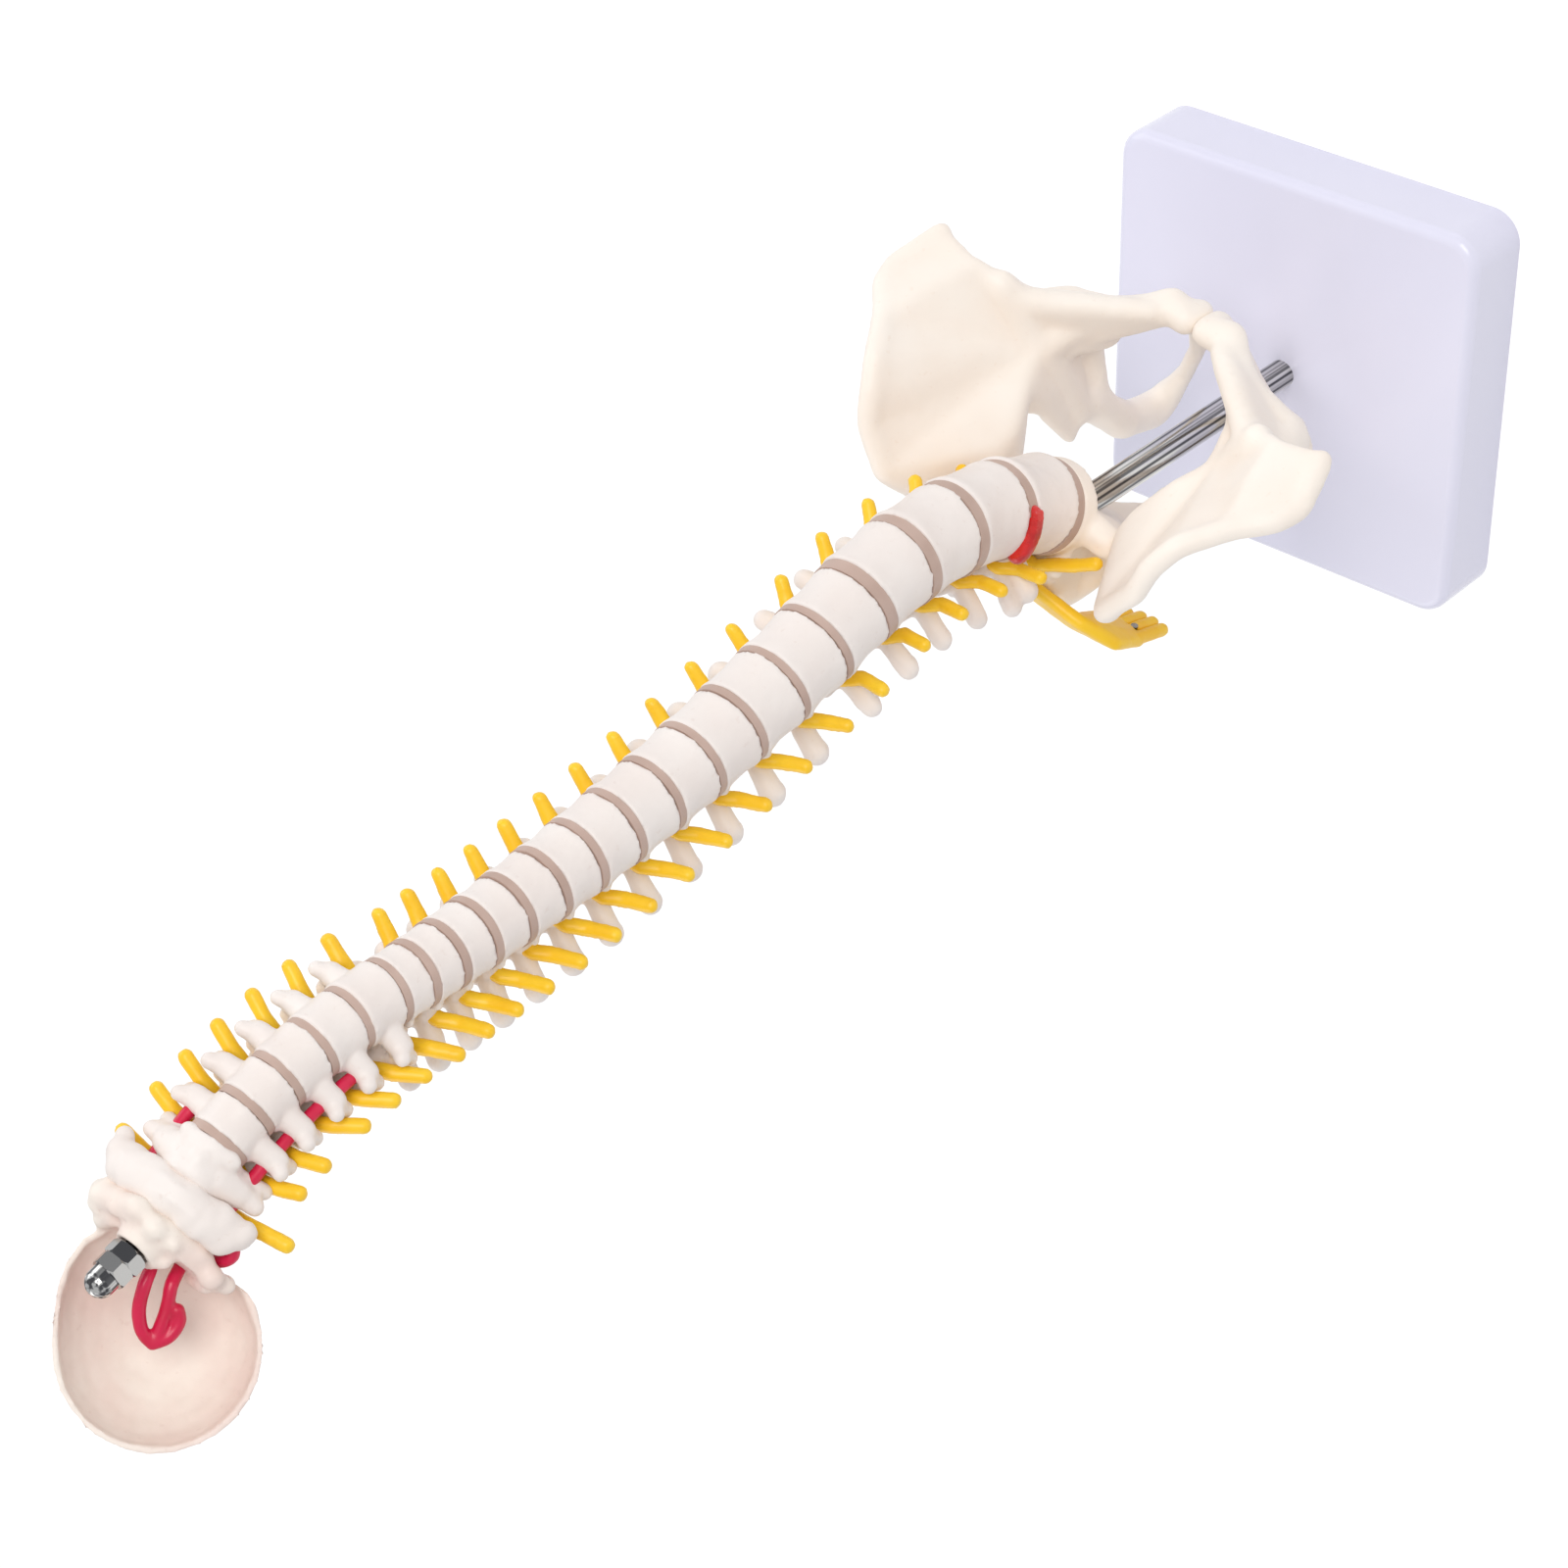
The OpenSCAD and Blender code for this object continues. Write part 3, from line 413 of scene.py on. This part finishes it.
def atlas_details(form):
    place = on_line(atlas_at)
    for k in range(-5, 6):
        drop(form, place, (k * 2.5, -4 + 0.18 * k * k, 4.4 + 0.4 * math.sin(k * 1.9)), 4.6, (1.1, 0.8, 1.08))
    for side in (-1, 1):
        lump(form, place, (side * 8.6, 1.4, 3.2), (side * 8.8, 2, 6.8), 4.2, 3.4)
        lump(form, place, (side * 10, 1.6, 4), (side * 16.2, 0.6, 3), 3.9, 2.6)
        drop(form, place, (side * 16.6, 1.2, 2.6), 2.8, (0.9, 1, 1.2))
    lump(form, place, (15, 1.6, 3), (17.6, 2.2, -0.4), 2.4, 2.1)


casting("axis", ["axis_c2"], axis_details, 0.55, 9, [(6, 0.5), (2.2, 0.14)], bone, 0.15)
casting("atlas", ["atlas_c1"], atlas_details, 0.55, 11, [(6, 0.6), (2.2, 0.16)], bone, 0.2)

# Back of the skull: a thin-walled bowl in cream plastic that grows out of a lumpy
# plate with two condyles. The walls are thin enough to look slightly translucent.
skull_bone = bone_paint("skull_plastic", (0.93, 0.85, 0.765, 1), (0.86, 0.70, 0.63, 1),
                        (0.64, 0.46, 0.40, 1), 0.40)


def plate_details(form):
    place = on_line(plate_at)
    edge = [(-18, 9), (-15.5, 4), (-11, 1), (-6.5, -4), (-1.5, -6),
            (4, -6), (8.5, -2.5), (12.5, 1.5), (14.5, 5), (13.6, 9.6)]
    for k, (x, y) in enumerate(edge):
        height, size = 2.2 + 1.1 * math.sin(k * 2.3), 2.8 + 0.5 * math.sin(k * 1.7)
        drop(form, place, (x, y, height), size, (1.15, 1, 1))
    for side in (-1, 1):
        lump(form, place, (side * 6.6, 1.6, 1.6), (side * 9.4, 6.6, 1.2), 2.6, 2.4)
    lump(form, place, (-12, 3, 1.4), (-4, -3.6, 1.6), 3.4, 3.2)
    lump(form, place, (-4, -3.6, 1.6), (6, -3.8, 1.6), 3.2, 3.4)
    lump(form, place, (12.6, 3.6, 1), (13.6, 5, 3.6), 4.2, 3.6)
    lump(form, place, (9, -1, 1.8), (14, 3, 2.6), 3.8, 3.4)
    lump(form, place, (-6.4, 0, 6.6), (-3.6, 2.2, 8), 2.2, 2)
    lump(form, place, (9, 3, 4.6), (11.6, 8, 5.6), 3.2, 3.2)
    lump(form, place, (-15, 9, 4.4), (-9, 18, 3.4), 2.6, 3)


casting("skull_back", ["occipital_plate"], plate_details, 0.68, 4, [(9, 0.7), (3, 0.2)], skull_bone,
        -0.45)

# Hip bones and sacrum: the largest castings, in warm cream plastic with a satin
# surface. The wings are thin and hollowed on the inside, with a thick soft crest.
pelvis_bone = bone_paint("pelvis_plastic", (0.98, 0.90, 0.815, 1), (0.96, 0.86, 0.765, 1),
                         (0.82, 0.64, 0.50, 1), 0.38)
seat = (Matrix.Translation((0, foot_y * mm, foot_z * mm))
        @ Matrix.Rotation(math.radians(pelvis_turn), 4, "Z"))


def hip_details(side):
    def shape(form):
        def point(x, y, z):
            return (side * x, y, z)
        lump(form, seat, point(38, -10, -49), point(34, -16, -38), 9, 6)
        lump(form, seat, point(27, -21.5, -48), point(16, -27.5, -55.3), 5, 4)
        lump(form, seat, point(16, -27.5, -55.3), point(9, -30.4, -59.6), 4, 4.6)
        lump(form, seat, point(27, 9, -56), point(24, 22.5, -73), 4.6, 5.2)
        lump(form, seat, point(30, -2, -30), point(34, -12, -40), 4, 6)
        lump(form, seat, point(32, -16, -46), point(26, -14, -57), 7, 4.6)
        for k in range(9):
            t = k / 8
            lump(form, seat, point(mix(37, 12, t), mix(-30, -30.4, t), mix(-31, -53, t)),
                 point(mix(33, 13, t), mix(-16, -27, t), mix(-48, -58, t)), mix(3.4, 2.8, t), mix(7, 4, t))
        lump(form, seat, point(22, -24, -52.5), point(36.5, -17, -53), 4.5, 6.2)
        lump(form, seat, point(36.5, -17, -53), point(40, -20, -42), 6.2, 5)
    return shape


for side, name in ((1, "left"), (-1, "right")):
    casting("hip_" + name, ["hip_bone_" + name], hip_details(side), 0.95, 34, [(18, 0.5), (5, 0.16)],
            pelvis_bone, 0.6)


def sacrum_details(form):
    for side in (-1, 1):
        lump(form, seat, (side * 9, 3, -6.4), (side * 18, 5, -7), 4.4, 4.2)
        lump(form, seat, (side * 8, 12, -3), (side * 9, 16, 0), 3, 2.4)


casting("sacrum_cast", ["sacrum"], sacrum_details, 0.85, 7, [(12, 0.5), (4, 0.18)],
        pelvis_bone)

# Discs: rings of a softer, pinkish grey-brown plastic between the bodies, slightly
# proud in the middle of their height. The fourth one has a red prolapse.
disc_paint = Paint("disc_plastic", IOR=1.45)
fibres = disc_paint.noise(900, 3.0)
cloud = disc_paint.between(0.3, 0.7, disc_paint.noise(90, 2.0))
tone = disc_paint.tint(cloud, (0.57, 0.415, 0.35, 1), (0.49, 0.345, 0.285, 1))
disc_material = disc_paint.feed(Base_Color=tone, Roughness=0.42 + fibres * 0.16,
                                Normal=disc_paint.relief(fibres, 0.00008, 0.6))
for name in ("lumbosacral_disc", "prolapsed_disc", "lumbar_discs", "thoracic_discs", "neck_discs"):
    nodes[name].data.materials.clear()
    nodes[name].data.materials.append(disc_material)

# Nerves: one soft yellow piece, the cord in the canal with a pair of roots at each
# disc, and a flat hand of roots that hangs behind the right side of the sacrum.
nerve_paint = Paint("nerve_rubber", IOR=1.47, Coat_Weight=0.15, Coat_Roughness=0.3)
patches = nerve_paint.between(0.3, 0.7, nerve_paint.noise(110, 2.0))
yellow = nerve_paint.tint(patches, (1.0, 0.64, 0.02, 1), (0.97, 0.56, 0.01, 1))
nerve_material = nerve_paint.feed(Base_Color=yellow, Roughness=0.34 + nerve_paint.noise(300, 2.0) * 0.14,
                                  Normal=nerve_paint.relief(nerve_paint.noise(420, 2.0), 0.0001, 0.5))


cord_foot = -5.0
root_starts, root_ends = 5, 18
drawn_left, drawn_right = 8, 4.4


def length_at(spot):
    """Length s on the core rod whose cross plane holds the world point spot."""
    low, high = cord_foot, sum(arc[0] for arc in arcs)
    for _ in range(14):
        s = (low + high) / 2
        y, z, lean = line(s)
        lean = math.radians(lean)
        ahead = (spot.y / mm - y) * math.sin(lean) + (spot.z / mm - z) * math.cos(lean)
        low, high = (s, high) if ahead > 0 else (low, s)
    return s


def lift_roots(form):
    """The roots leave the canal lower than the construction's do and reach the same tips."""
    neck_from, neck_to = disc_at(16), disc_at(18)
    for corner in form.verts:
        s = length_at(corner.co)
        local = on_line(s).inverted() @ corner.co
        inner = min(1, max(0, 1 - (abs(local.x) / mm - root_starts) / (root_ends - root_starts)))
        in_neck = min(1, max(0, (s - neck_from) / (neck_to - neck_from)))
        drawn = (drawn_left if local.x > 0 else drawn_right) * (1 - 0.8 * in_neck)
        corner.co = on_line(max(s - drawn * inner, cord_foot)) @ local


casting("cord_with_roots", ["cord_and_nerves"], lift_roots, 0.56, 2, [(5, 0.3)],
        nerve_material, 0.62)
casting("root_hand", ["cauda_equina"], None, 0.46, 3, [(5, 0.3)], nerve_material, 0.75)

# Arteries: two soft crimson tubes through the holes of the neck's side processes,
# which loop out above the atlas, pass the skull's opening and join in an arch.
artery_paint = Paint("artery_rubber", IOR=1.47, Coat_Weight=0.2, Coat_Roughness=0.25)
blush = artery_paint.between(0.3, 0.7, artery_paint.noise(120, 2.0))
crimson = artery_paint.tint(blush, (0.70, 0.006, 0.07, 1), (0.58, 0.003, 0.042, 1))
artery_material = artery_paint.feed(Base_Color=crimson, Roughness=0.3 + artery_paint.noise(300, 2.0) * 0.12,
                                    Normal=artery_paint.relief(artery_paint.noise(400, 2.0), 0.0001, 0.5))


artery_x, artery_y, artery_radius = 10.2, 3.4, 1.5


def through_bones(side, start, step, count):
    """World points of an artery in the holes of the side processes, from length start on."""
    return [on_line(start + k * step) @ Vector((side * artery_x * mm, artery_y * mm, 0)) for k in range(count)]


def beside_plate(*points):
    place = on_line(plate_at)
    return [place @ (Vector(point) * mm) for point in points]


def rounded(route):
    """The route's points and three more between each two, on a smooth curve."""
    ends = [route[0]] + route + [route[-1]]
    curve = [(b * 2 + (c - a) * t + (a * 2 - b * 5 + c * 4 - d) * t * t + (b * 3 - a - c * 3 + d) * t ** 3) / 2
             for a, b, c, d in zip(ends, ends[1:], ends[2:], ends[3:]) for t in (0, 0.25, 0.5, 0.75)]
    return curve + [route[-1]]


def arteries(form):
    right = through_bones(-1, disc_at(18) + 4, 6, 9) + beside_plate(
        (-10.2, 3.4, -7), (-13.6, 4.2, -6.4), (-16.2, 5.6, -3.6), (-14, 8, -1), (-9, 12, -1), (-7.5, 11, 4))
    left = through_bones(1, disc_at(21) + 5, 5, 5) + beside_plate(
        (10.2, 3.4, -3), (12.6, 6, -2), (8, 10, -1), (2, 9.6, 3))
    near_strand = beside_plate((2, 9.6, 3), (-3, 7, 8), (-4.6, 6.4, 12), (-6.3, 9.4, 16.9), (-9.3, 12.3, 20.2),
                               (-12.4, 14.1, 20.8))
    far_strand = beside_plate((-7.5, 11, 4), (-8.8, 9, 8.6), (-10.8, 11.1, 13.3), (-12, 13.2, 18),
                              (-12.4, 14.1, 20.8))
    blunt_end = beside_plate((-12.4, 14.1, 20.8), (-14.4, 14.3, 17.4), (-14.3, 13.2, 13.8), (-12.8, 11.8, 12.2))
    for route in (right, left, near_strand, far_strand, blunt_end):
        curve = rounded(route)
        for a, b in zip(curve, curve[1:]):
            lump(form, Matrix(), a / mm, b / mm, artery_radius, artery_radius)


casting("artery_pair", ["vertebral_arteries"], arteries, 0.38, 7, [(4, 0.2)],
        artery_material, 0.1, copied=False)

prolapse_paint = Paint("prolapse_rubber", IOR=1.47, Coat_Weight=0.3, Coat_Roughness=0.2)
veins = prolapse_paint.between(0.35, 0.65, prolapse_paint.noise(260, 3.0))
scarlet = prolapse_paint.tint(veins, (0.66, 0.016, 0.014, 1), (0.42, 0.006, 0.008, 1))
prolapse_material = prolapse_paint.feed(Base_Color=scarlet, Roughness=0.24 + veins * 0.14,
                                        Normal=prolapse_paint.relief(veins, 0.00015, 0.6))


def bulge(form):
    place = on_line(disc_at(1))
    reach, beads = 12.7, 15
    for k in range(beads):
        angle = math.radians(166 + k * 4.2)
        middle = (reach * math.cos(angle), reach * math.sin(angle), 0)
        drop(form, place, middle, mix(2.9, 1.5, k / (beads - 1)), (1, 1, 1.05))


casting("prolapse", ["disc_prolapse"], bulge, 0.35, 4, [(3, 0.3)], prolapse_material)

# Stand: a glossy moulded base in white with a lilac tint, and polished chrome for
# the upright, the core rod, the nuts and the small fixings.
base_paint = Paint("base_gloss", IOR=1.5, Coat_Weight=0.25, Coat_Roughness=0.12)
haze = base_paint.between(0.3, 0.7, base_paint.noise(9, 2.0))
lilac = base_paint.tint(haze, (0.79, 0.775, 0.90, 1), (0.76, 0.745, 0.885, 1))
base_material = base_paint.feed(Base_Color=lilac, Roughness=0.24 + base_paint.noise(18, 1.0) * 0.04)
chrome_paint = Paint("chrome", Metallic=1.0)
# Painted reflections: the chrome's colour changes between near black and light grey in bands that follow which
# way the surface faces, standing in for mirrored surroundings.
facing = chrome_paint.add("ShaderNodeTexCoord", out=1)
painted_reflection_bands = chrome_paint.between(0.42, 0.6, chrome_paint.noise(3.4, 1.0, where=facing))
swirl = chrome_paint.noise(240, 2.0)
steel_with_painted_reflections = chrome_paint.tint(painted_reflection_bands, (0.10, 0.10, 0.105, 1), (0.66, 0.65, 0.63, 1))
chrome = chrome_paint.feed(Base_Color=steel_with_painted_reflections, Roughness=0.1 + swirl * 0.08)
nodes["base_plate"].data.materials.clear()
nodes["base_plate"].data.materials.append(base_material)
for name in ("base_washer", "base_bolt", "support_rod", "core_rod", "lock_nut", "cap_nut", "cauda_screw"):
    nodes[name].data.materials.clear()
    nodes[name].data.materials.append(chrome)
